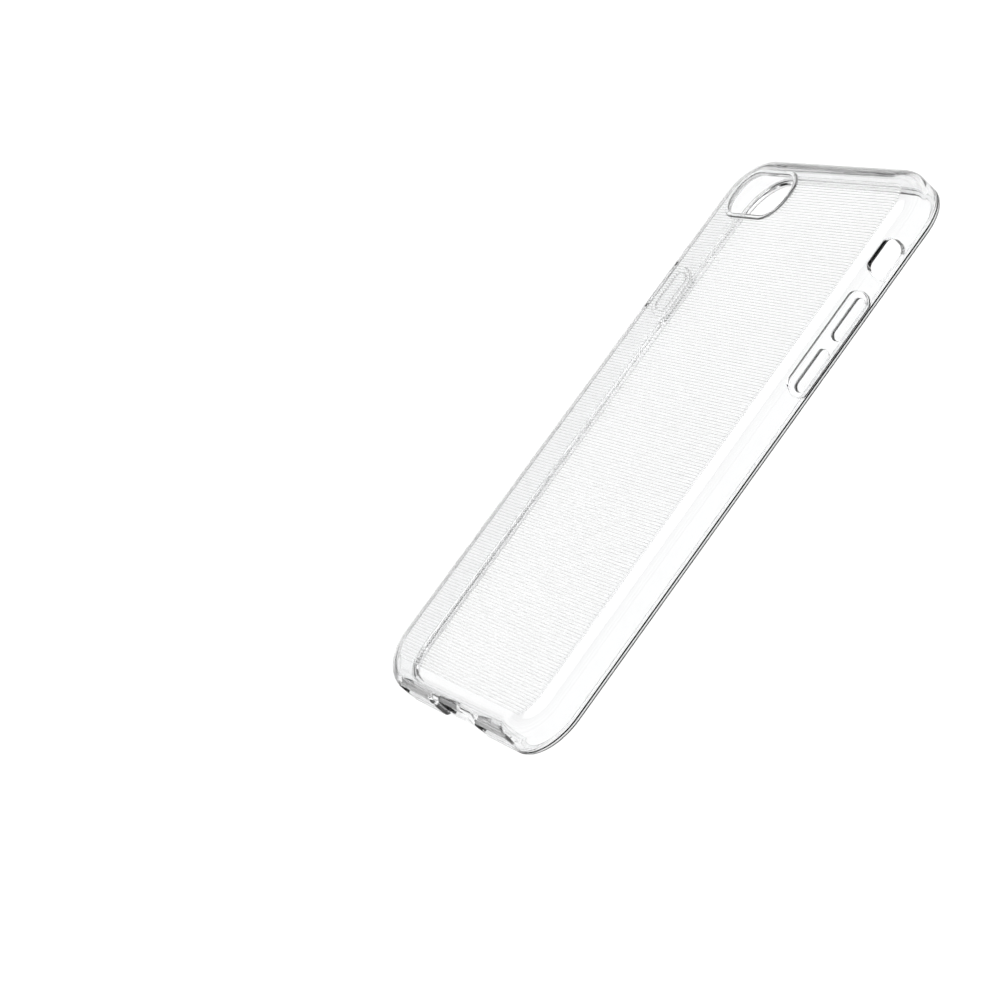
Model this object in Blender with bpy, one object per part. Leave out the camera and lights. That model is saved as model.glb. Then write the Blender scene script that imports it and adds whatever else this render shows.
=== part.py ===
"""Clear flexible case for a 4.7-inch phone, modelled in Blender.

The case lies with its open front on the ground: +Z is up through the back,
+Y points to the camera end and +X to the side with the two volume buttons.
Sizes are in millimetres and are turned into metres where a mesh is made.

The real case is one moulding. Each zone of it that has its own job is a
solid of its own here, with a small gap to its neighbours: the front rim,
the four walls, the four corners, the back, the lens bezel, the thin webs
round the buttons, and the buttons, which are pressed inwards.
"""
import math

import bmesh
import bpy
from mathutils import Vector

MM = 0.001

# The phone that the case holds.
PHONE_WIDTH = 67.1
PHONE_LENGTH = 138.4
PHONE_THICKNESS = 7.3

# Fit and thicknesses of the moulding.
PHONE_CLEARANCE = 0.1
WALL = 1.4
BACK = 0.8
RIM_STAND_OFF = 0.25    # how far the rim stands in front of the phone's glass
GAP = 0.3               # between neighbouring solids
CUT = 2.0               # how far a cutter runs past what it cuts

# Outer shape.
WIDTH = PHONE_WIDTH + 2 * (PHONE_CLEARANCE + WALL)
LENGTH = PHONE_LENGTH + 2 * (PHONE_CLEARANCE + WALL)
HEIGHT = PHONE_THICKNESS + BACK + RIM_STAND_OFF
CORNER_RADIUS = 11.15
SHOULDER_INSET = 4.5    # the outer curve from wall to back, measured inwards
SHOULDER_DROP = 4.2     # and the same curve measured down from the back
FLOOR_INSET = 4.9       # where the flat inner floor starts
FLOOR_DROP = 3.4        # height of the inner curve from the wall to the floor
BACK_INSET = 5.2        # where the walls end and the back panel starts
CORNER_STEPS = 10
SHOULDER_STEPS = 6

# Front rim, with the lip that keeps the phone in.
RIM_HEIGHT = 0.85
RIM_ROUNDING = 0.8
LIP_INSET = 2.45
LIP_EDGE = 0.7
LIP_CHAMFER = 0.25
RIM_STEPS = 4

# Camera opening and its raised bezel, in the back's -X, +Y corner.
BEZEL_SIZE = (22.4, 13.0)
BEZEL_FROM_SIDE = 6.25  # from the case's side and its camera end to the bezel's edge
BEZEL_FROM_END = 4.6
BEZEL_RADIUS = 6.0
BEZEL_WIDTH = 1.0
BEZEL_RISE = 0.4
BEZEL_CHAMFER = 0.2
BEZEL_CENTRE = (
    BEZEL_FROM_SIDE + BEZEL_SIZE[0] / 2 - WIDTH / 2,
    LENGTH / 2 - BEZEL_FROM_END - BEZEL_SIZE[1] / 2,
)

# Buttons: caps that pass through thin webs. Places along a side wall are
# measured from the camera end, as they are on the phone.
BUTTON_HEIGHT = 2.5
BUTTON_LENGTH = 10.2
BUTTON_PROUD = 0.3
BUTTON_CHAMFER = 0.2
VOLUME_UP_AT = LENGTH / 2 - 35.35
VOLUME_DOWN_AT = LENGTH / 2 - 48.1
POWER_AT = LENGTH / 2 - 35.6
VOLUME_BUTTONS = (VOLUME_UP_AT, VOLUME_DOWN_AT)
POWER_BUTTONS = (POWER_AT,)

# Webs: each closes a pocket in the wall and has a hole round every button.
WEB = 0.5
WEB_RECESS = 0.5        # from the wall's outer face down to the web
WEB_LOW = RIM_HEIGHT + GAP + 0.1
WEB_BELOW = 0.25        # web that is left below and above a button's hole
WEB_ABOVE = 0.8
WEB_BESIDE = 0.6
BUTTON_LOW = WEB_LOW + WEB_BELOW + GAP
WEB_HIGH = BUTTON_LOW + BUTTON_HEIGHT + GAP + WEB_ABOVE

# Cutouts in the walls: length, height and corner radius.
MUTE_AT = (LENGTH / 2 - 20.95, 3.85)
MUTE_CUTOUT = (8.9, 4.6, 1.9)
PORT_LEVEL = 4.0
PORT_CUTOUT = (11.6, 4.7, 2.1)
SOUND_CUTOUT = (15.0, 2.9, 1.4)
SOUND_AT = 18.4
SCOOP_HALF = 8.6        # flat part of the scoop round the charging port
SCOOP_DEPTH = 0.7
SCOOP_SLOPE = 1.6

ARC_STEPS = 6           # for a quarter turn of a cutout or a button
END_ROUNDING = 0.49     # a round end's radius, as a share of its height


# ---------------------------------------------------------------- shapes

def quarter(steps):
    """Angles from 0 to a quarter turn."""
    return [math.pi / 2 * step / steps for step in range(steps + 1)]


def rounded_path(size, radius, centre=(0.0, 0.0), steps=CORNER_STEPS):
    """Points of a rounded rectangle with their outward directions."""
    path = []
    for corner in range(4):
        start = corner * math.pi / 2
        side_u = (1, -1, -1, 1)[corner]
        side_v = (1, 1, -1, -1)[corner]
        middle_u = centre[0] + side_u * (size[0] / 2 - radius)
        middle_v = centre[1] + side_v * (size[1] / 2 - radius)
        for angle in quarter(steps):
            out_u = math.cos(start + angle)
            out_v = math.sin(start + angle)
            path.append((middle_u + radius * out_u, middle_v + radius * out_v, out_u, out_v))
    return path


def outline(size, radius, centre=(0.0, 0.0), inset=0.0, steps=ARC_STEPS):
    """Rounded rectangle as plain points, drawn in by an inset."""
    return [(u - inset * out_u, v - inset * out_v)
            for u, v, out_u, out_v in rounded_path(size, radius, centre, steps)]


def mesh_object(name, rings, closed_loop=False):
    """One solid from matching rings of points, capped unless it closes on itself."""
    bm = bmesh.new()
    made = [[bm.verts.new(Vector(point) * MM) for point in ring] for ring in rings]
    pairs = list(zip(made, made[1:]))
    if closed_loop:
        pairs.append((made[-1], made[0]))
    for first, second in pairs:
        for index in range(len(first)):
            follow = (index + 1) % len(first)
            bm.faces.new((first[index], first[follow], second[follow], second[index]))
    if not closed_loop:
        bm.faces.new(made[0])
        bm.faces.new(made[-1])
    bmesh.ops.recalc_face_normals(bm, faces=bm.faces)
    mesh = bpy.data.meshes.new(name)
    bm.to_mesh(mesh)
    bm.free()
    mesh.shade_smooth()
    mesh.set_sharp_from_angle(angle=math.radians(35))
    solid = bpy.data.objects.new(name, mesh)
    bpy.context.scene.collection.objects.link(solid)
    return solid


def swept(name, section, path, closed_loop=False):
    """Sweep a section of (inset, height) points along a path on the ground."""
    rings = [[(u - inset * out_u, v - inset * out_v, height) for inset, height in section]
             for u, v, out_u, out_v in path]
    return mesh_object(name, rings, closed_loop)


def on_side(side, along, up, out):
    """A point given along a wall, up from the ground and out from the middle."""
    if side == "+x":
        return (out, along, up)
    if side == "-x":
        return (-out, along, up)
    if side == "-y":
        return (along, -out, up)
    raise ValueError(side)


def boss(name, side, shape, out_from, out_to, chamfer=0.0):
    """A straight boss or cutter that stands out from a wall.

    The shape is its length, height, corner radius and centre.
    """
    length, height, radius, centre = shape
    levels = [(out_from, 0.0), (out_to - chamfer, 0.0)]
    if chamfer:
        levels.append((out_to, chamfer))
    rings = []
    for out, inset in levels:
        points = outline((length, height), radius, centre, inset)
        rings.append([on_side(side, along, up, out) for along, up in points])
    return mesh_object(name, rings)


def upright(name, points, low, high):
    """A straight solid that stands on a flat outline."""
    return mesh_object(name, [[(x, y, level) for x, y in points] for level in (low, high)])


def cut(solid, cutter):
    """Take a hidden cutter out of a solid."""
    cutter.hide_render = True
    cutter.display_type = "WIRE"
    modifier = solid.modifiers.new("Cut " + cutter.name, "BOOLEAN")
    modifier.operation = "DIFFERENCE"
    modifier.object = cutter


def soft_clear(name, tint=(0.93, 0.94, 0.95), roughness=0.08):
    """Clear flexible plastic, one material to a solid."""
    material = bpy.data.materials.new(name)
    material.use_nodes = True
    shader = material.node_tree.nodes["Principled BSDF"]
    shader.inputs["Base Color"].default_value = (*tint, 1.0)
    shader.inputs["Roughness"].default_value = roughness
    shader.inputs["Metallic"].default_value = 0.0
    shader.inputs["IOR"].default_value = 1.5
    shader.inputs["Transmission Weight"].default_value = 1.0
    return material


def finish(solid, roughness=0.08):
    """Give a solid its own clear material."""
    solid.data.materials.append(soft_clear("clear " + solid.name, roughness=roughness))
    return solid


# ---------------------------------------------------------------- sections

def wall_section():
    """Section of a wall with its shoulder, from the rim's top to the back panel."""
    low = RIM_HEIGHT + GAP
    outer_start = HEIGHT - SHOULDER_DROP
    inner_start = HEIGHT - BACK - FLOOR_DROP
    section = [(0.0, low)]
    for angle in quarter(SHOULDER_STEPS):
        inset = SHOULDER_INSET * (1 - math.cos(angle))
        section.append((inset, outer_start + SHOULDER_DROP * math.sin(angle)))
    section.append((BACK_INSET, HEIGHT))
    section.append((BACK_INSET, HEIGHT - BACK))
    for angle in reversed(quarter(SHOULDER_STEPS)):
        inset = WALL + (FLOOR_INSET - WALL) * (1 - math.cos(angle))
        section.append((inset, inner_start + FLOOR_DROP * math.sin(angle)))
    section.append((WALL, low))
    return section


def rim_section():
    """Section of the front rim: rounded outside, with the lip inside."""
    section = []
    for angle in quarter(RIM_STEPS):
        section.append((RIM_ROUNDING * (1 - math.sin(angle)), RIM_ROUNDING * (1 - math.cos(angle))))
    section.append((0.0, RIM_HEIGHT))
    section.append((WALL, RIM_HEIGHT))
    section.append((LIP_INSET, LIP_EDGE))
    section.append((LIP_INSET, LIP_CHAMFER))
    section.append((LIP_INSET - LIP_CHAMFER, 0.0))
    return section


def bezel_section():
    """Section of the ring round the camera opening."""
    low = HEIGHT - BACK
    high = HEIGHT + BEZEL_RISE
    return [
        (0.0, low),
        (0.0, high - BEZEL_CHAMFER),
        (BEZEL_CHAMFER, high),
        (BEZEL_WIDTH - BEZEL_CHAMFER, high),
        (BEZEL_WIDTH, high - BEZEL_CHAMFER),
        (BEZEL_WIDTH, low),
    ]


# ---------------------------------------------------------------- cutters

def camera_seat(name):
    """The hole that the bezel stands in, a gap wider than the bezel."""
    size = (BEZEL_SIZE[0] + 2 * GAP, BEZEL_SIZE[1] + 2 * GAP)
    points = outline(size, BEZEL_RADIUS + GAP, BEZEL_CENTRE)
    return upright(name, points, HEIGHT - BACK - CUT, HEIGHT + CUT)


def port_scoop(name):
    """The shallow scoop that makes room for a plug round the charging port."""
    face = -LENGTH / 2
    reach = SCOOP_HALF + SCOOP_SLOPE * (1 + CUT / SCOOP_DEPTH)
    points = [
        (-reach, face - CUT),
        (reach, face - CUT),
        (SCOOP_HALF, face + SCOOP_DEPTH),
        (-SCOOP_HALF, face + SCOOP_DEPTH),
    ]
    return upright(name, points, -CUT, HEIGHT + CUT)


def wall_opening(name, side, shape):
    """A cutter that runs right through a wall."""
    reach = LENGTH / 2 if side == "-y" else WIDTH / 2
    return boss(name, side, shape, reach - WALL - CUT, reach + CUT)


def button_shape(along, clearance=0.0):
    """Size, corner radius and centre of a button cap, or of the hole it runs in."""
    length = BUTTON_LENGTH + 2 * clearance
    height = BUTTON_HEIGHT + 2 * clearance
    return length, height, END_ROUNDING * height, (along, BUTTON_LOW + BUTTON_HEIGHT / 2)


def web_shape(buttons, clearance=0.0):
    """The same for the web round some buttons, or for the pocket that it sits in."""
    beside = BUTTON_LENGTH / 2 + GAP + WEB_BESIDE + clearance
    low, high = min(buttons) - beside, max(buttons) + beside
    height = WEB_HIGH - WEB_LOW + 2 * clearance
    centre = ((low + high) / 2, (WEB_LOW + WEB_HIGH) / 2)
    return high - low, height, END_ROUNDING * height, centre


# ---------------------------------------------------------------- pieces

def add_walls():
    """Four walls and four corners, each a stretch of one sweep round the phone."""
    section = wall_section()
    straight_x = WIDTH / 2 - CORNER_RADIUS - GAP
    straight_y = LENGTH / 2 - CORNER_RADIUS - GAP
    ends = {
        "right_wall": [(WIDTH / 2, -straight_y, 1, 0), (WIDTH / 2, straight_y, 1, 0)],
        "top_wall": [(straight_x, LENGTH / 2, 0, 1), (-straight_x, LENGTH / 2, 0, 1)],
        "left_wall": [(-WIDTH / 2, straight_y, -1, 0), (-WIDTH / 2, -straight_y, -1, 0)],
        "bottom_wall": [(-straight_x, -LENGTH / 2, 0, -1), (straight_x, -LENGTH / 2, 0, -1)],
    }
    walls = {name: swept(name, section, path) for name, path in ends.items()}
    path = rounded_path((WIDTH, LENGTH), CORNER_RADIUS)
    stations = CORNER_STEPS + 1
    names = ("corner_top_right", "corner_top_left", "corner_bottom_left", "corner_bottom_right")
    for index, name in enumerate(names):
        stretch = path[index * stations:(index + 1) * stations]
        walls[name] = swept(name, section, stretch)
    return walls


def add_back_panel():
    """The flat back, inside the walls' shoulders."""
    inset = BACK_INSET + GAP
    points = outline((WIDTH, LENGTH), CORNER_RADIUS, inset=inset, steps=CORNER_STEPS)
    return upright("back_panel", points, HEIGHT - BACK, HEIGHT)


def add_camera_bezel():
    """The raised ring round the camera opening."""
    path = rounded_path(BEZEL_SIZE, BEZEL_RADIUS, BEZEL_CENTRE, ARC_STEPS)
    return swept("camera_bezel", bezel_section(), path, closed_loop=True)


def add_front_rim():
    """The rim round the open front, one ring with the lip inside it."""
    path = rounded_path((WIDTH, LENGTH), CORNER_RADIUS)
    rim = swept("front_rim", rim_section(), path, closed_loop=True)
    cut(rim, port_scoop("rim_scoop_cutter"))
    return rim


def add_web(name, side, buttons):
    """The thin web that closes a pocket, with a hole round each button."""
    outer = WIDTH / 2 - WEB_RECESS
    web = boss(name, side, web_shape(buttons), outer - WEB, outer)
    for number, along in enumerate(buttons):
        hole = boss(f"{name}_hole_cutter_{number}", side, button_shape(along, GAP),
                    outer - WEB - CUT, outer + CUT)
        cut(web, hole)
    return web


def add_button(name, side, along):
    """A button cap, from the web's inner face to just proud of the wall."""
    inner = WIDTH / 2 - WEB_RECESS - WEB
    return boss(name, side, button_shape(along), inner, WIDTH / 2 + BUTTON_PROUD, BUTTON_CHAMFER)


def cut_walls(walls):
    """Cut the button pockets, the switch and port openings and the bezel's seat."""
    cut(walls["right_wall"], wall_opening("mute_cutter", "+x", (*MUTE_CUTOUT, MUTE_AT)))
    cut(walls["right_wall"], wall_opening("volume_cutter", "+x", web_shape(VOLUME_BUTTONS, GAP)))
    cut(walls["left_wall"], wall_opening("power_cutter", "-x", web_shape(POWER_BUTTONS, GAP)))
    bottom = walls["bottom_wall"]
    cut(bottom, port_scoop("wall_scoop_cutter"))
    cut(bottom, wall_opening("port_cutter", "-y", (*PORT_CUTOUT, (0.0, PORT_LEVEL))))
    for name, along in (("left_sound_cutter", -SOUND_AT), ("right_sound_cutter", SOUND_AT)):
        cut(bottom, wall_opening(name, "-y", (*SOUND_CUTOUT, (along, PORT_LEVEL))))
    for name in ("top_wall", "left_wall", "corner_top_left"):
        cut(walls[name], camera_seat(name + "_seat_cutter"))


def main():
    for old in list(bpy.data.objects):
        bpy.data.objects.remove(old)
    walls = add_walls()
    cut_walls(walls)
    back = add_back_panel()
    cut(back, camera_seat("back_seat_cutter"))
    pieces = [
        *walls.values(),
        back,
        add_front_rim(),
        add_camera_bezel(),
        add_web("volume_web", "+x", VOLUME_BUTTONS),
        add_web("power_web", "-x", POWER_BUTTONS),
        add_button("volume_up_button", "+x", VOLUME_UP_AT),
        add_button("volume_down_button", "+x", VOLUME_DOWN_AT),
        add_button("power_button", "-x", POWER_AT),
    ]
    for piece in pieces:
        finish(piece)


main()
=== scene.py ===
"""Looks of the clear flexible phone case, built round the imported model.

The case lies with its open front down: +Z is up through the back, +Y points
to the camera end and +X to the side with the two volume buttons. The sizes in
the constants are in millimetres. The moulding is one closed shell, which
stands for all the solids of the CAD model's case body, and the three button
caps are pieces of their own that slide in their webs.
"""
import math

import bmesh
import bpy
from mathutils import Euler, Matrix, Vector


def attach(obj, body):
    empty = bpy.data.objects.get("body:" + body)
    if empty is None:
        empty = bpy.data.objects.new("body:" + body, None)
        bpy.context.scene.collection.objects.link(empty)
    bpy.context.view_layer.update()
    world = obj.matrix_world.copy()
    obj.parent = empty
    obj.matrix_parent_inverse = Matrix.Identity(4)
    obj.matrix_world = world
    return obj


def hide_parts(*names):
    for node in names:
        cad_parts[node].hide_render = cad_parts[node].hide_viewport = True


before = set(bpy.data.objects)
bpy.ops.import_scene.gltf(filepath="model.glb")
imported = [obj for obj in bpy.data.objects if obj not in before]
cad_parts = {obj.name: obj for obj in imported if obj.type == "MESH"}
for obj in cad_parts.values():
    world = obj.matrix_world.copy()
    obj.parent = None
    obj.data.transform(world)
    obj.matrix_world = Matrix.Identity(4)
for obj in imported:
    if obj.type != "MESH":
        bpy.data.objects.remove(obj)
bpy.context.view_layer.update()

MM = 0.001
WELD = 5e-7             # metres: points closer than this become one

# Outer shape, as in the CAD model.
WIDTH = 70.1
LENGTH = 141.4
HEIGHT = 8.35
WALL = 1.4
BACK = 0.8
CORNER_RADIUS = 11.15
SHOULDER_INSET = 4.5
SHOULDER_DROP = 4.2
FLOOR_INSET = 4.9
FLOOR_DROP = 3.4
FLAT_MARGIN = 0.25      # a ring of flat points inside each curve's end
CORNER_STEPS = 28
SHOULDER_STEPS = 20

# Front rim, its lip and the parting groove above it.
RIM_TAPER = (0.12, 0.36)    # how far the rim's foot draws in, and from what height
RIM_FOOT = 0.05         # rounding under the foot
LIP_INSET = 2.45
LIP_LOW = 0.25
LIP_TOP = 0.7
LIP_ROOT = 0.85
GROOVE_LOW = 0.66
GROOVE_FLOOR = (0.90, 0.94)
GROOVE_HIGH = 1.0
GROOVE_DEPTH = 0.18

# Camera opening with its raised bezel.
BEZEL_SIZE = (22.4, 13.0)
BEZEL_CENTRE = (-17.6, 59.6)
BEZEL_RADIUS = 6.0
BEZEL_WIDTH = 1.0
BEZEL_RISE = 0.4
BEZEL_ROUNDING = 0.25
BEZEL_FILLET = 0.3

# Buttons, webs and pockets.
BUTTON_SIZE = (10.2, 2.5)
BUTTON_LEVEL = 3.05
BUTTON_REACH = (34.05, 35.35)
BUTTON_ROUNDING = 0.22
BUTTON_CLEARANCE = 0.1
VOLUME_UP_Y = 35.35
VOLUME_DOWN_Y = 22.6
POWER_Y = 35.1
WEB_FACES = (34.05, 34.55)
POCKET_HEIGHT = 4.75
POCKET_LEVEL = 3.325
POCKET_BESIDE = 6.3     # from a button's middle to the pocket's end
END_ROUNDING = 0.49

# Cutouts in the walls: length, height, corner radius, place along and level.
MUTE = (8.9, 4.6, 1.9, 49.75, 3.85)
PORT = (11.6, 4.7, 2.1, 0.0, 4.0)
SOUND = (15.0, 2.9, 1.4, 18.4, 4.0)
SCOOP_HALF = 8.6
SCOOP_DEPTH = 0.7
SCOOP_SLOPE = 1.6
ARC_STEPS = 14

# Fine rows on the inner face of the back, each with a pip at its ends.
ROW_PITCH = 0.688
ROW_HALF_WIDTH = 0.17
ROW_HEIGHT = 0.05
PIP_RADIUS = 0.22
PIP_HEIGHT = 0.1
ROW_EMBED = 0.03
ROW_INSET = 3.85        # where the rows end, just past the start of the inner curve
ROW_STEPS = 6

# Shading: the least crease that stays sharp, in degrees, and how far big faces win.
CREASE_ANGLE = 20
FLAT_FACE_WEIGHT = 90

# The clear plastic: its colour, the painted shade for the dark lines at its edges, and the places
# of these in the shell's materials.
PLAIN_COLOUR = (0.945, 0.949, 0.952, 1.0)
# Painted shade: the dark colours below draw dark lines on narrow edge faces, standing in for the
# dark surroundings that a clear edge bends into view.
PAINTED_EDGE_SHADE_COLOUR = (0.0006, 0.0006, 0.0006, 1.0)
PAINTED_RIDGE_SHADE_COLOUR = (0.12, 0.12, 0.12, 1.0)
PAINTED_CAP_SIDE_SHADE_COLOUR = (0.05, 0.05, 0.05, 1.0)
PLAIN, PAINTED_SHADE, PAINTED_RIDGE_SHADE = range(3)
REFRACTION = 1.49
ABSORPTION = 24.0       # per metre
SHELL_WAVES = 250.0
CAP_WAVES = 400.0
WAVE_STRENGTH = 0.05
WAVE_DEPTH = 0.0002     # metres
SHELL_ROUGHNESS = 0.02
CAP_ROUGHNESS = 0.03

# Camera: place in metres, turn in degrees, focal length.
CAMERA_AT = (0.4700, -0.1152, 0.2561)
CAMERA_TURN = (53.336, 42.978, 52.950)
CAMERA_LENS = 95.28

# Studio: light from a bright strip and an overhead cap, with dark sky between them.
SKY_STRENGTH = 3.4
HORIZON_LEVEL = 0.30
STRIP_LEVEL = 0.29
SKY_LEVEL = 0.003
OVERHEAD_LEVEL = 1.0
SKY_STOPS = (           # sine of the elevation, level
    (0.13, HORIZON_LEVEL), (0.165, SKY_LEVEL), (0.27, SKY_LEVEL), (0.30, STRIP_LEVEL),
    (0.60, STRIP_LEVEL), (0.64, SKY_LEVEL), (0.84, SKY_LEVEL), (0.88, OVERHEAD_LEVEL),
)
FLOOR_RADIUS = 2.5      # metres
FLOOR_LEVEL = -0.0002
LIGHT_BOUNCES = 32
GLOSSY_BOUNCES = 10


# ---------------------------------------------------------------- shapes

def quarter(steps):
    """Angles from 0 to a quarter turn."""
    return [math.pi / 2 * step / steps for step in range(steps + 1)]


def rounded_path(size, radius, centre=(0.0, 0.0), steps=ARC_STEPS):
    """Points of a rounded rectangle with their outward directions."""
    path = []
    for corner in range(4):
        start = corner * math.pi / 2
        middle_u = centre[0] + (1, -1, -1, 1)[corner] * (size[0] / 2 - radius)
        middle_v = centre[1] + (1, 1, -1, -1)[corner] * (size[1] / 2 - radius)
        for angle in quarter(steps):
            out_u, out_v = math.cos(start + angle), math.sin(start + angle)
            path.append((middle_u + radius * out_u, middle_v + radius * out_v, out_u, out_v))
    return path


def add_rings(bm, rings):
    """A closed tube of quads through matching rings, capped at both ends."""
    made = [[bm.verts.new(Vector(point) * MM) for point in ring] for ring in rings]
    for first, second in zip(made, made[1:]):
        for index in range(len(first)):
            follow = (index + 1) % len(first)
            bm.faces.new((first[index], first[follow], second[follow], second[index]))
    bm.faces.new(made[0])
    bm.faces.new(made[-1])


def mesh_object(name, bm):
    """Turn a bmesh of closed forms into an object."""
    bmesh.ops.recalc_face_normals(bm, faces=bm.faces)
    mesh = bpy.data.meshes.new(name)
    bm.to_mesh(mesh)
    bm.free()
    made = bpy.data.objects.new(name, mesh)
    bpy.context.scene.collection.objects.link(made)
    return made


def solid(name, rings):
    """One closed form from matching rings."""
    bm = bmesh.new()
    add_rings(bm, rings)
    return mesh_object(name, bm)


def inset_rings(path, section):
    """A ring for each (inset, height) of a section, round a path on the ground."""
    return [[(u - inset * out_u, v - inset * out_v, height) for u, v, out_u, out_v in path]
            for inset, height in section]


def on_side(side, along, up, out):
    """A point given along a wall, up from the ground and out from the middle."""
    if side == "+x":
        return (out, along, up)
    if side == "-x":
        return (-out, along, up)
    return (along, -out, up)


def through_wall(side, size, radius, centre, levels):
    """Rings of a boss or cutter that stands out from a wall, at (out, inset) levels."""
    path = rounded_path(size, radius, centre)
    return [[on_side(side, u - inset * out_u, v - inset * out_v, out)
             for u, v, out_u, out_v in path] for out, inset in levels]


def carve(target, tool, operation="DIFFERENCE"):
    """Add a Boolean of a hidden tool to a target."""
    tool.hide_render = True
    modifier = target.modifiers.new(tool.name, "BOOLEAN")
    modifier.operation = operation
    modifier.solver = "MANIFOLD"
    modifier.object = tool
    return tool


def clean(mesh):
    """Weld the slivers that the Booleans leave, and drop faces folded onto each other."""
    bm = bmesh.new()
    bm.from_mesh(mesh)
    bmesh.ops.remove_doubles(bm, verts=bm.verts, dist=WELD)
    bmesh.ops.dissolve_degenerate(bm, edges=bm.edges, dist=WELD)
    bmesh.ops.triangulate(bm, faces=bm.faces)
    seen = {}
    for face in bm.faces:
        seen.setdefault(frozenset(face.verts), []).append(face)
    folded = [face for faces in seen.values() if len(faces) > 1 for face in faces]
    bmesh.ops.delete(bm, geom=folded, context="FACES")
    bm.to_mesh(mesh)
    bm.free()


def apply_carving(target, tools):
    """Make the Booleans real and drop their tools."""
    graph = bpy.context.evaluated_depsgraph_get()
    mesh = bpy.data.meshes.new_from_object(target.evaluated_get(graph))
    clean(mesh)
    target.modifiers.clear()
    target.data = mesh
    for tool in tools:
        bpy.data.objects.remove(tool)


def shade(target):
    """Smooth shading with creases kept sharp, where flat faces keep their own normals."""
    target.data.shade_smooth()
    target.data.set_sharp_from_angle(angle=math.radians(CREASE_ANGLE))
    modifier = target.modifiers.new("weighted normals", "WEIGHTED_NORMAL")
    modifier.mode = "FACE_AREA"
    modifier.weight = FLAT_FACE_WEIGHT
    modifier.keep_sharp = True


# ---------------------------------------------------------------- shell

def shell_section():
    """Section of the moulding from the middle of its inner floor round to its back."""
    floor = HEIGHT - BACK
    inner_start = floor - FLOOR_DROP
    section = [(FLOOR_INSET + FLAT_MARGIN, floor)]
    for angle in reversed(quarter(SHOULDER_STEPS)):
        section.append((WALL + (FLOOR_INSET - WALL) * (1 - math.cos(angle)),
                        inner_start + FLOOR_DROP * math.sin(angle)))
    section += [(WALL, 1.05), (WALL + 0.06, 0.92), (WALL + 0.2, LIP_ROOT - 0.01)]
    section += [(LIP_INSET - 0.2, LIP_TOP + 0.03), (LIP_INSET - 0.05, LIP_TOP - 0.04),
                (LIP_INSET, LIP_TOP - 0.18)]
    for angle in quarter(5):
        section.append((LIP_INSET - LIP_LOW * (1 - math.cos(angle)),
                        LIP_LOW * (1 - math.sin(angle))))
    taper, height = RIM_TAPER
    section += [(taper + RIM_FOOT * 1.2, 0.0), (taper + RIM_FOOT * 0.4, RIM_FOOT * 0.3),
                (taper, RIM_FOOT), (0.0, height)]
    return section


def outer_section():
    """The rest of the section, up the outside of the wall and over its shoulder."""
    section = [(0.0, GROOVE_LOW), (GROOVE_DEPTH, GROOVE_FLOOR[0]),
               (GROOVE_DEPTH, GROOVE_FLOOR[1]), (0.0, GROOVE_HIGH)]
    outer_start = HEIGHT - SHOULDER_DROP
    for angle in quarter(SHOULDER_STEPS):
        section.append((SHOULDER_INSET * (1 - math.cos(angle)),
                        outer_start + SHOULDER_DROP * math.sin(angle)))
    section.append((SHOULDER_INSET + FLAT_MARGIN, HEIGHT))
    return section


def bezel_pad():
    """The raised pad that the camera opening is cut through."""
    path = rounded_path(BEZEL_SIZE, BEZEL_RADIUS, BEZEL_CENTRE)
    top = HEIGHT + BEZEL_RISE
    section = [(-BEZEL_FILLET, HEIGHT - 0.2)]
    for angle in quarter(5):
        section.append((-BEZEL_FILLET * (1 - math.sin(angle)),
                        HEIGHT - 0.04 + BEZEL_FILLET * (1 - math.cos(angle)) * 0.5))
    for angle in quarter(6):
        section.append((BEZEL_ROUNDING * (1 - math.cos(angle)),
                        top - BEZEL_ROUNDING * (1 - math.sin(angle))))
    section.append((BEZEL_WIDTH * 0.5, top))
    return solid("bezel_pad", inset_rings(path, section))


def camera_hole():
    """The opening, flared where it meets the bezel's top and the inner floor."""
    size = tuple(side - 2 * BEZEL_WIDTH for side in BEZEL_SIZE)
    path = rounded_path(size, BEZEL_RADIUS - BEZEL_WIDTH, BEZEL_CENTRE)
    top = HEIGHT + BEZEL_RISE
    floor = HEIGHT - BACK
    flare = 0.2
    section = [(-flare, floor - 1.0), (-flare, floor)]
    for angle in quarter(5)[1:]:
        section.append((-flare * (1 - math.sin(angle)), floor + flare * (1 - math.cos(angle))))
    for angle in reversed(quarter(5)):
        section.append((-flare * (1 - math.sin(angle)), top - flare * (1 - math.cos(angle))))
    section.append((-flare, top + 1.0))
    return solid("camera_hole", inset_rings(path, section))


def wall_cutter(name, side, shape, sign=1):
    """A cutter right through a wall, flared at the wall's outer face."""
    length, height, radius, along, level = shape
    face = LENGTH / 2 if side == "-y" else WIDTH / 2
    flare = 0.2
    levels = [(face - WALL - 2.0, 0.0)]
    for angle in quarter(5):
        levels.append((face - flare + flare * math.sin(angle), -flare * (1 - math.cos(angle))))
    levels.append((face + 1.0, -flare))
    return solid(name, through_wall(side, (length, height), radius, (sign * along, level), levels))


def port_scoop():
    """The shallow scoop round the charging port, with eased ends."""
    face = -LENGTH / 2
    reach = SCOOP_HALF + SCOOP_SLOPE
    steps = 12
    profile = []
    for step in range(steps + 1):
        share = step / steps
        ease = (1 + math.cos(math.pi * share)) / 2
        profile.append((SCOOP_HALF + SCOOP_SLOPE * share,
                        face + SCOOP_DEPTH * ease - 0.002 * share))
    line = [(-x, y) for x, y in reversed(profile)] + profile
    line += [(reach, face - 1.0), (-reach, face - 1.0)]
    return solid("port_scoop", [[(x, y, z) for x, y in line] for z in (-1.0, HEIGHT + 1.0)])


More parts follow.
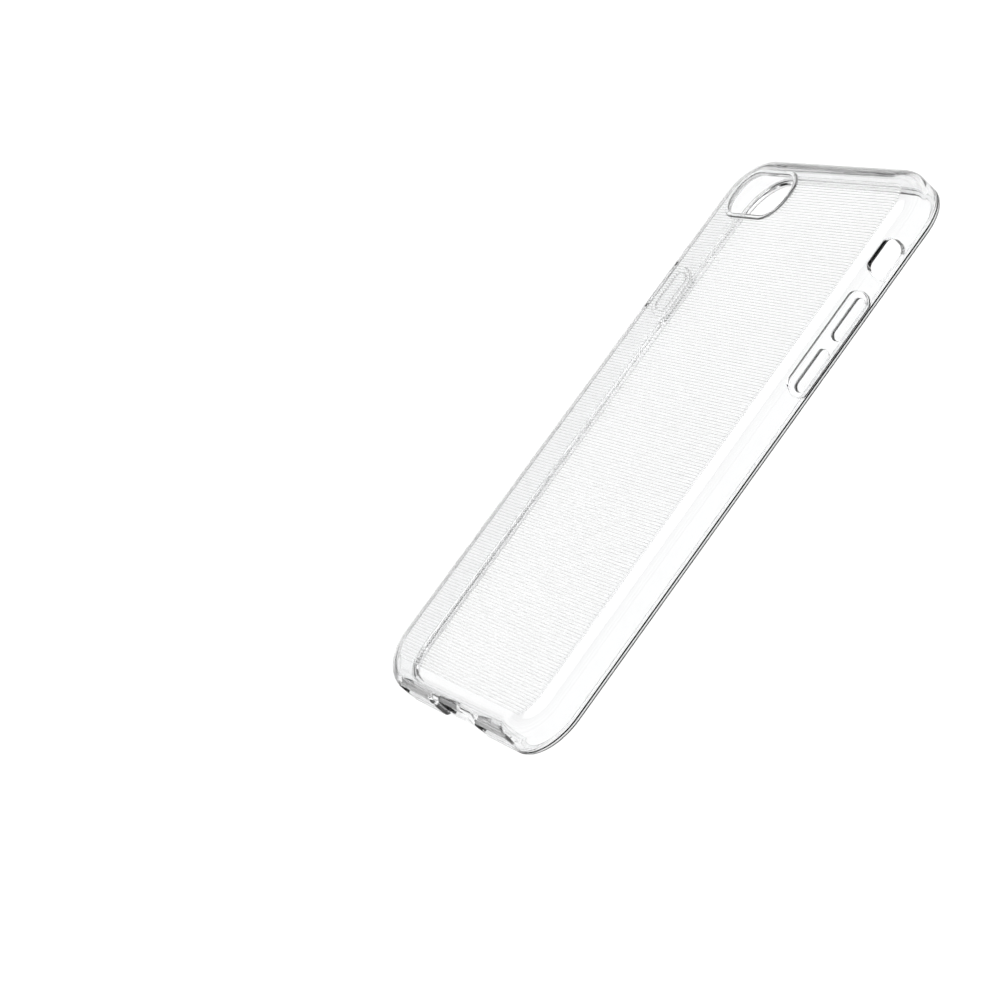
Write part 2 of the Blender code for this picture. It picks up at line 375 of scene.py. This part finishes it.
def pocket_tools(side, buttons):
    """Outer and inner recesses on both faces of a web, and the holes for its caps."""
    low, high = min(buttons) - POCKET_BESIDE, max(buttons) + POCKET_BESIDE
    size = (high - low, POCKET_HEIGHT)
    centre = ((low + high) / 2, POCKET_LEVEL)
    radius = END_ROUNDING * POCKET_HEIGHT
    face = WIDTH / 2
    fillet = 0.15
    outer = [(WEB_FACES[1], fillet)]
    for angle in quarter(5)[1:]:
        outer.append((WEB_FACES[1] + fillet * (1 - math.cos(angle)),
                      fillet * (1 - math.sin(angle))))
    outer += [(face - 0.12, 0.0), (face, -0.12), (face + 1.0, -0.12)]
    inner = [(face - WALL - 1.5, 0.0), (WEB_FACES[0], 0.0)]
    tools = [
        solid("pocket_outer", through_wall(side, size, radius, centre, outer)),
        solid("pocket_inner", through_wall(side, size, radius, centre, inner)),
    ]
    hole = tuple(side_length + 2 * BUTTON_CLEARANCE for side_length in BUTTON_SIZE)
    for along in buttons:
        tools.append(solid("button_hole", through_wall(
            side, hole, END_ROUNDING * hole[1], (along, BUTTON_LEVEL),
            [(WEB_FACES[0] - 0.2, 0.0), (WEB_FACES[1] + 0.2, 0.0)])))
    return tools


def inset_from_edge(x, y, size=(WIDTH, LENGTH), radius=CORNER_RADIUS, centre=(0.0, 0.0)):
    """How far a place is inside a rounded rectangle, as far as its corners' middles."""
    over_x = max(abs(x - centre[0]) - (size[0] / 2 - radius), 0.0)
    over_y = max(abs(y - centre[1]) - (size[1] / 2 - radius), 0.0)
    return radius - math.hypot(over_x, over_y)


def inner_height(x, y):
    """Height of the back's inner face, which starts to curve down near the walls."""
    inset = inset_from_edge(x, y)
    if inset >= FLOOR_INSET:
        return HEIGHT - BACK
    cosine = 1 - (inset - WALL) / (FLOOR_INSET - WALL)
    return HEIGHT - BACK - FLOOR_DROP * (1 - math.sqrt(1 - cosine ** 2))


def row_spans(y):
    """Where a row runs at a place along the case, as (low, high) pairs."""
    half_x = WIDTH / 2 - ROW_INSET
    half_y = LENGTH / 2 - ROW_INSET
    radius = CORNER_RADIUS - ROW_INSET
    past = abs(y) - (half_y - radius)
    reach = half_x if past <= 0 else half_x - radius + math.sqrt(max(radius ** 2 - past ** 2, 0))
    spans = [(-reach, reach)]
    keep = 0.45
    hole_x = BEZEL_SIZE[0] / 2 - BEZEL_WIDTH + keep
    hole_y = BEZEL_SIZE[1] / 2 - BEZEL_WIDTH + keep
    hole_radius = BEZEL_RADIUS - BEZEL_WIDTH + keep
    off = abs(y - BEZEL_CENTRE[1])
    if off < hole_y:
        past = off - (hole_y - hole_radius)
        if past > 0:
            hole_x += math.sqrt(max(hole_radius ** 2 - past ** 2, 0)) - hole_radius
        spans = [(-reach, BEZEL_CENTRE[0] - hole_x), (BEZEL_CENTRE[0] + hole_x, reach)]
    return [(low, high) for low, high in spans if high - low > 4 * PIP_RADIUS]


def row_stations(low, high):
    """Places along a row with the half width and height of its section."""
    stations = []
    for share in (0.06, 0.45, 0.85, 1.25, 1.6):
        bulge = math.sqrt(max(1 - (1 - share) ** 2, 0.0))
        width = max(PIP_RADIUS * bulge, ROW_HALF_WIDTH if share > 1 else 0.0)
        height = max(PIP_HEIGHT * bulge, ROW_HEIGHT if share > 1 else 0.0)
        stations.append((share * PIP_RADIUS, width, height))
    for share in (2.4, 3.6, 4.8, 6.0, 7.0):
        stations.append((share * PIP_RADIUS, ROW_HALF_WIDTH, ROW_HEIGHT))
    ends = [(low + run, width, height) for run, width, height in stations]
    return ends + [(high - run, width, height) for run, width, height in reversed(stations)]


def texture_rows():
    """All the rows in one mesh, each a closed bar sunk a little into the back."""
    bm = bmesh.new()
    count = int((LENGTH / 2 - FLOOR_INSET) / ROW_PITCH)
    for number in range(-count, count + 1):
        y = number * ROW_PITCH
        for low, high in row_spans(y):
            rings = []
            for x, width, height in row_stations(low, high):
                ring = []
                face = inner_height(x, y)
                for step in range(ROW_STEPS + 1):
                    turn = math.pi * step / ROW_STEPS
                    ring.append((x, y + width * math.cos(turn),
                                 face + ROW_EMBED - (height + ROW_EMBED) * math.sin(turn)))
                rings.append(ring)
            add_rings(bm, rings)
    return mesh_object("texture_rows", bm)


def make_shell():
    """The whole moulding in one closed mesh."""
    path = rounded_path((WIDTH, LENGTH), CORNER_RADIUS, steps=CORNER_STEPS)
    shell = solid("case_shell", inset_rings(path, shell_section() + outer_section()))
    tools = [carve(shell, bezel_pad(), "UNION")]
    cutters = [
        camera_hole(),
        port_scoop(),
        wall_cutter("mute_cutter", "+x", MUTE),
        wall_cutter("port_cutter", "-y", PORT),
        wall_cutter("sound_cutter_right", "-y", SOUND),
        wall_cutter("sound_cutter_left", "-y", SOUND, sign=-1),
        *pocket_tools("+x", (VOLUME_DOWN_Y, VOLUME_UP_Y)),
        *pocket_tools("-x", (POWER_Y,)),
    ]
    tools += [carve(shell, cutter) for cutter in cutters]
    tools.append(carve(shell, texture_rows(), "UNION"))
    apply_carving(shell, tools)
    shade(shell)
    return shell


def painted_shade_slot(x, y, z, normal):
    """Which material a face of the shell has: plain, painted shade or the ridge's painted shade.

    The painted shade stands in for the dark surroundings that a clear edge bends into view: dark
    lines painted on narrow faces, not a tint of the plastic.
    """
    inside = inset_from_edge(x, y)
    shallow = inside < GROOVE_DEPTH
    if shallow and RIM_FOOT < z < RIM_TAPER[1] and normal.z < -0.1:
        return PAINTED_SHADE
    if shallow and GROOVE_LOW < z < GROOVE_FLOOR[0] and normal.z > 0.3:
        return PAINTED_SHADE

    buttons = (VOLUME_DOWN_Y, VOLUME_UP_Y) if x > 0 else (POWER_Y,)
    beside = min(abs(y - along) for along in buttons) < POCKET_BESIDE + 0.1
    outside_web = abs(x) > WEB_FACES[1] and inside <= WIDTH / 2 - WEB_FACES[1]
    level = abs(z - POCKET_LEVEL) < POCKET_HEIGHT / 2 + 0.05
    if beside and outside_web and level and abs(normal.x) < 0.5:
        return PAINTED_SHADE

    # The bezel ridge's faces get a lighter painted shade, a dark outline round the camera opening.
    into_bezel = inset_from_edge(x, y, BEZEL_SIZE, BEZEL_RADIUS, BEZEL_CENTRE)
    if z > HEIGHT - 0.05 and normal.z < 0.8 and -0.15 < into_bezel < BEZEL_WIDTH + 0.05:
        return PAINTED_RIDGE_SHADE

    # The sides and ceilings of the end wall's cutouts get painted shade as dark lines.
    in_end_wall = inside < WALL and -y > LENGTH / 2 - WALL
    among_cutouts = (abs(x) < SOUND[3] + SOUND[0] / 2
                     and abs(z - PORT[4]) < PORT[1] / 2 + 0.25)
    if in_end_wall and among_cutouts and (abs(normal.x) > 0.6 or normal.z < -0.6):
        return PAINTED_SHADE
    return PLAIN


def paint_edge_shade(shell):
    """Paint shade as dark lines on the narrow faces at the shell's edges, and leave the rest
    plain.
    """
    for face in shell.data.polygons:
        face.material_index = painted_shade_slot(*(face.center / MM), face.normal)


def make_cap(name, side, along):
    """A button cap with a rounded face."""
    inner, outer = BUTTON_REACH
    levels = [(inner, 0.0)]
    for angle in quarter(6):
        levels.append((outer - BUTTON_ROUNDING * (1 - math.sin(angle)),
                       BUTTON_ROUNDING * (1 - math.cos(angle))))
    levels.append((outer, BUTTON_ROUNDING + 0.25))
    cap = solid(name, through_wall(side, BUTTON_SIZE, END_ROUNDING * BUTTON_SIZE[1],
                                   (along, BUTTON_LEVEL), levels))
    shade(cap)
    return cap


# ---------------------------------------------------------------- materials

def clear_plastic(name, waves, roughness, colour=PLAIN_COLOUR):
    """Water-clear flexible plastic with a faint waviness in its faces; given a dark colour, it is
    painted shade for edge lines.
    """
    material = bpy.data.materials.new(name)
    material.use_nodes = True
    nodes, links = material.node_tree.nodes, material.node_tree.links
    shader = nodes["Principled BSDF"]
    shader.inputs["Base Color"].default_value = colour
    shader.inputs["Transmission Weight"].default_value = 1.0
    shader.inputs["IOR"].default_value = REFRACTION
    shader.inputs["Roughness"].default_value = roughness
    place = nodes.new("ShaderNodeTexCoord")
    wave = nodes.new("ShaderNodeTexNoise")
    wave.inputs["Scale"].default_value = waves
    wave.inputs["Detail"].default_value = 2.0
    bump = nodes.new("ShaderNodeBump")
    bump.inputs["Strength"].default_value = WAVE_STRENGTH
    bump.inputs["Distance"].default_value = WAVE_DEPTH
    links.new(place.outputs["Object"], wave.inputs["Vector"])
    links.new(wave.outputs["Fac"], bump.inputs["Height"])
    links.new(bump.outputs["Normal"], shader.inputs["Normal"])
    depth = nodes.new("ShaderNodeVolumeAbsorption")
    depth.inputs["Color"].default_value = (0.0, 0.0, 0.0, 1.0)
    depth.inputs["Density"].default_value = ABSORPTION
    links.new(depth.outputs["Volume"], nodes["Material Output"].inputs["Volume"])
    return material


def plain_floor():
    """Matt white floor."""
    material = bpy.data.materials.new("floor")
    material.use_nodes = True
    shader = material.node_tree.nodes["Principled BSDF"]
    shader.inputs["Base Color"].default_value = (0.9, 0.9, 0.9, 1.0)
    shader.inputs["Roughness"].default_value = 1.0
    shader.inputs["Specular IOR Level"].default_value = 0.0
    return material


# ---------------------------------------------------------------- studio

def add_floor():
    """A wide round floor just under the rim."""
    bm = bmesh.new()
    bmesh.ops.create_circle(bm, cap_ends=True, segments=96, radius=FLOOR_RADIUS)
    for vertex in bm.verts:
        vertex.co.z = FLOOR_LEVEL
    mesh = bpy.data.meshes.new("floor")
    bm.to_mesh(mesh)
    bm.free()
    floor = bpy.data.objects.new("floor", mesh)
    bpy.context.scene.collection.objects.link(floor)
    floor.data.materials.append(plain_floor())


def add_world():
    """Light whose level depends only on the height above the horizon."""
    world = bpy.data.worlds.new("studio")
    bpy.context.scene.world = world
    world.use_nodes = True
    nodes, links = world.node_tree.nodes, world.node_tree.links
    background = nodes["Background"]
    place = nodes.new("ShaderNodeTexCoord")
    split = nodes.new("ShaderNodeSeparateXYZ")
    ramp = nodes.new("ShaderNodeValToRGB")
    stops = ramp.color_ramp.elements
    for position, level in SKY_STOPS:
        stop = stops.new(position)
        stop.color = (level, level, level, 1)
    stops[0].color = (HORIZON_LEVEL, HORIZON_LEVEL, HORIZON_LEVEL, 1)
    stops[-1].color = (1, 1, 1, 1)
    links.new(place.outputs["Generated"], split.inputs["Vector"])
    links.new(split.outputs["Z"], ramp.inputs["Fac"])
    links.new(ramp.outputs["Color"], background.inputs["Color"])
    background.inputs["Strength"].default_value = SKY_STRENGTH


def add_camera():
    """The camera at the photograph's viewing angle."""
    data = bpy.data.cameras.new("camera")
    data.lens = CAMERA_LENS
    data.sensor_width = 36.0
    data.clip_start = 0.01
    camera = bpy.data.objects.new("camera", data)
    camera.location = CAMERA_AT
    camera.rotation_euler = Euler([math.radians(turn) for turn in CAMERA_TURN])
    bpy.context.scene.collection.objects.link(camera)
    bpy.context.scene.camera = camera


# ---------------------------------------------------------------- scene

add_camera()
add_world()
add_floor()
bpy.context.scene.view_settings.view_transform = "Standard"
bpy.context.scene.cycles.max_bounces = LIGHT_BOUNCES
bpy.context.scene.cycles.transmission_bounces = LIGHT_BOUNCES
bpy.context.scene.cycles.glossy_bounces = GLOSSY_BOUNCES

shell = make_shell()
shell.data.materials.clear()
# The second and third materials carry painted shade: dark base colours that draw the edge lines.
for name, colour in (("clear_shell", PLAIN_COLOUR), ("clear_painted_edge_shade", PAINTED_EDGE_SHADE_COLOUR),
                     ("clear_painted_ridge_shade", PAINTED_RIDGE_SHADE_COLOUR)):
    shell.data.materials.append(clear_plastic(name, SHELL_WAVES, SHELL_ROUGHNESS, colour))
paint_edge_shade(shell)
shell.visible_shadow = False
shell.visible_diffuse = False
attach(shell, "case")
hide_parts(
    "back_panel", "right_wall", "left_wall", "top_wall", "bottom_wall",
    "corner_top_right", "corner_top_left", "corner_bottom_left", "corner_bottom_right",
    "front_rim", "camera_bezel", "volume_web", "power_web",
)

CAPS = (
    ("volume_up_cap", "+x", VOLUME_UP_Y, "volume_up", "volume_up_button"),
    ("volume_down_cap", "+x", VOLUME_DOWN_Y, "volume_down", "volume_down_button"),
    ("power_cap", "-x", POWER_Y, "power", "power_button"),
)
cap_plastic = clear_plastic("clear_caps", CAP_WAVES, CAP_ROUGHNESS)
cap_painted_shade = clear_plastic("clear_painted_cap_shade", CAP_WAVES, CAP_ROUGHNESS, PAINTED_CAP_SIDE_SHADE_COLOUR)
for name, side, along, body, node in CAPS:
    cap = make_cap(name, side, along)
    cap.data.materials.append(cap_plastic)
    cap.data.materials.append(cap_painted_shade)
    # The caps' side faces take the painted shade, dark lines for their outlines; the faces looking
    # out stay plain.
    for face in cap.data.polygons:
        face.material_index = int(abs(face.normal.x) < 0.5)
    cap.visible_shadow = False
    cap.visible_diffuse = False
    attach(cap, body)
    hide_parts(node)
